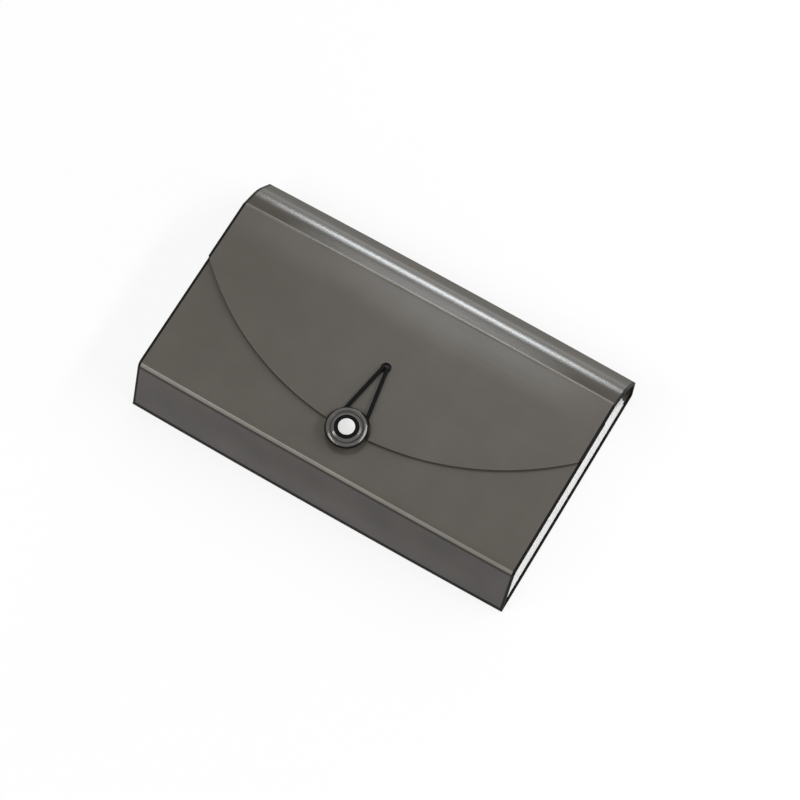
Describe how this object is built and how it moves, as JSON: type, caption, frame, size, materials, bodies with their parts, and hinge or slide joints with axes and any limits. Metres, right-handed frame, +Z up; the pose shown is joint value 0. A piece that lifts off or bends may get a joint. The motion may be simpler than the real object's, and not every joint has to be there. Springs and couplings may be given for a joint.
{
  "type": "document bag",
  "caption": "Small expanding document bag: a scored plastic cover with a curved flap, folded pockets, and an elastic loop that hooks a round button.",
  "frame": {"origin": "middle of the bag on the surface that its back panel rests on", "axes": "+X along the width, +Y from the bottom panel to the spine, +Z up from the back panel to the flap"},
  "size_m": [0.254, 0.1582, 0.0489],
  "materials": {
    "cover": "charcoal grey polypropylene sheet, fine grain, semi-gloss",
    "pocket": "white frosted polypropylene sheet",
    "button": "moulded grey plastic, semi-gloss",
    "rivet": "white moulded plastic",
    "elastic": "black braided elastic cord",
    "anchor": "plain crimped steel bar"
  },
  "bodies": {
    "back_cover": {"back_panel": "cover", "bottom_rear_hinge": "cover", "rear_spine_hinge": "cover"},
    "first_divider": {"divider_1": "pocket", "pocket_1_left_gusset": "pocket", "pocket_1_right_gusset": "pocket", "pocket_1_bottom_gusset": "pocket"},
    "second_divider": {"divider_2": "pocket", "pocket_2_left_gusset": "pocket", "pocket_2_right_gusset": "pocket", "pocket_2_bottom_gusset": "pocket"},
    "third_divider": {"divider_3": "pocket", "pocket_3_left_gusset": "pocket", "pocket_3_right_gusset": "pocket", "pocket_3_bottom_gusset": "pocket"},
    "fourth_divider": {"divider_4": "pocket", "pocket_4_left_gusset": "pocket", "pocket_4_right_gusset": "pocket", "pocket_4_bottom_gusset": "pocket"},
    "front_cover": {"front_panel": "cover", "bottom_panel": "cover", "bottom_front_hinge": "cover", "button_collar": "button", "button_rivet": "rivet", "button_washer": "button", "pocket_5_left_gusset": "pocket", "pocket_5_right_gusset": "pocket", "pocket_5_bottom_gusset": "pocket"},
    "button": {"button_disc": "button"},
    "rear_spine": {"rear_spine_strip": "cover", "lower_spine_hinge": "cover"},
    "middle_spine": {"middle_spine_strip": "cover", "upper_spine_hinge": "cover"},
    "front_spine": {"front_spine_strip": "cover", "flap_hinge": "cover"},
    "flap_cover": {"flap": "cover", "loop_anchor_bar": "anchor"},
    "loop": {"elastic_loop": "elastic"}
  },
  "joints": [
    {"name": "rear_spine_fold", "type": "hinge", "parent": "back_cover", "child": "rear_spine", "pos_m": [0, 0.077, 0.0006], "axis": [-1, 0, 0], "range_deg": [0, 79]},
    {"name": "lower_spine_fold", "type": "hinge", "parent": "rear_spine", "child": "middle_spine", "pos_m": [0, 0.0785, 0.0172], "axis": [-1, 0, 0], "range_deg": [0, 39.6]},
    {"name": "upper_spine_fold", "type": "hinge", "parent": "middle_spine", "child": "front_spine", "pos_m": [0, 0.0655, 0.0342], "axis": [-1, 0, 0], "range_deg": [0, 22.8]},
    {"name": "flap_fold", "type": "hinge", "parent": "front_spine", "child": "flap_cover", "pos_m": [0, 0.0505, 0.0422], "axis": [-1, 0, 0], "range_deg": [0, 26.1]},
    {"name": "pocket_1_fan", "type": "hinge", "parent": "back_cover", "child": "first_divider", "pos_m": [0, -0.0785, 0.0006], "axis": [1, 0, 0], "range_deg": [0, 5], "deforming": ["pocket_1_left_gusset", "pocket_1_right_gusset", "pocket_1_bottom_gusset"]},
    {"name": "pocket_2_fan", "type": "hinge", "parent": "first_divider", "child": "second_divider", "pos_m": [0, -0.0785, 0.0006], "axis": [1, 0, 0], "range_deg": [0, 5], "deforming": ["pocket_2_left_gusset", "pocket_2_right_gusset", "pocket_2_bottom_gusset"]},
    {"name": "pocket_3_fan", "type": "hinge", "parent": "second_divider", "child": "third_divider", "pos_m": [0, -0.0785, 0.0006], "axis": [1, 0, 0], "range_deg": [0, 5], "deforming": ["pocket_3_left_gusset", "pocket_3_right_gusset", "pocket_3_bottom_gusset"]},
    {"name": "pocket_4_fan", "type": "hinge", "parent": "third_divider", "child": "fourth_divider", "pos_m": [0, -0.0785, 0.0006], "axis": [1, 0, 0], "range_deg": [0, 5], "deforming": ["pocket_4_left_gusset", "pocket_4_right_gusset", "pocket_4_bottom_gusset"]},
    {"name": "pocket_5_fan", "type": "hinge", "parent": "fourth_divider", "child": "front_cover", "pos_m": [0, -0.0785, 0.0006], "axis": [1, 0, 0], "range_deg": [0, 5], "deforming": ["pocket_5_left_gusset", "pocket_5_right_gusset", "pocket_5_bottom_gusset"]},
    {"name": "button_spin", "type": "hinge", "parent": "front_cover", "child": "button", "pos_m": [0, -0.0411, 0.0468], "axis": [0, 0, 1], "continuous": true},
    {"name": "loop_swing", "type": "hinge", "parent": "flap_cover", "child": "loop", "pos_m": [0, 0.0035, 0.04435], "axis": [0, 0, 1], "range_deg": [-60, 60], "deforming": ["elastic_loop"]}
  ],
  "couplings": [
    {"joint": "lower_spine_fold", "follows": "rear_spine_fold", "ratio": 0.50127},
    {"joint": "upper_spine_fold", "follows": "rear_spine_fold", "ratio": 0.28861},
    {"joint": "flap_fold", "follows": "rear_spine_fold", "ratio": 0.33038},
    {"joint": "pocket_1_fan", "follows": "rear_spine_fold", "ratio": 0.063291},
    {"joint": "pocket_2_fan", "follows": "rear_spine_fold", "ratio": 0.063291},
    {"joint": "pocket_3_fan", "follows": "rear_spine_fold", "ratio": 0.063291},
    {"joint": "pocket_4_fan", "follows": "rear_spine_fold", "ratio": 0.063291},
    {"joint": "pocket_5_fan", "follows": "rear_spine_fold", "ratio": 0.063291}
  ]
}
